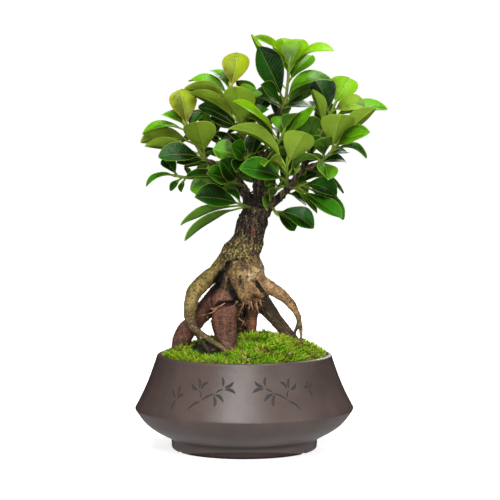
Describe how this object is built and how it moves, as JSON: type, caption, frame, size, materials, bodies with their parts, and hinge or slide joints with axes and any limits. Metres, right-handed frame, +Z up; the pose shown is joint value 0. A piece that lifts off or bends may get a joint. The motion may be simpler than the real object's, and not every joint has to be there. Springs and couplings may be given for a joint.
{
  "type": "ginseng ficus in a pot",
  "caption": "Small fig tree with swollen, spreading roots and leafy shoots, in a low turned clay pot filled with soil and topped with moss.",
  "frame": {"origin": "on the ground, at the middle of the whole object's box seen from above; the pot's axis stands 17.25 mm to its -X side", "axes": "+Z up, -Y towards the front that the picture shows, +X to the right of that view"},
  "size_m": [0.2532, 0.219, 0.4148],
  "materials": {
    "clay": "unglazed fired clay, matt with a faint sheen",
    "soil": "dark moist potting soil",
    "moss": "living moss, soft and rough",
    "bark": "living bark, rough and speckled",
    "leaf": "waxy green leaves"
  },
  "bodies": {
    "root": {"pot": "clay", "soil": "soil", "moss": "moss", "trunk": "bark", "spray_back_high": "leaf", "spray_back_left": "leaf", "spray_back_low_left": "leaf", "spray_back_low_right": "leaf", "spray_back_middle": "leaf", "spray_back_right": "leaf", "spray_front": "leaf", "spray_inner_fork": "leaf", "spray_inner_high": "leaf", "spray_inner_left": "leaf", "spray_inner_low_right": "leaf", "spray_inner_middle": "leaf", "spray_inner_right": "leaf", "spray_left": "leaf", "spray_low_left": "leaf", "spray_low_right": "leaf", "spray_mid_left": "leaf", "spray_middle": "leaf", "spray_right": "leaf", "spray_right_low": "leaf", "spray_right_upper": "leaf", "spray_small_left": "leaf", "spray_stub": "leaf", "spray_top": "leaf", "spray_upper_left": "leaf"}
  },
  "joints": []
}
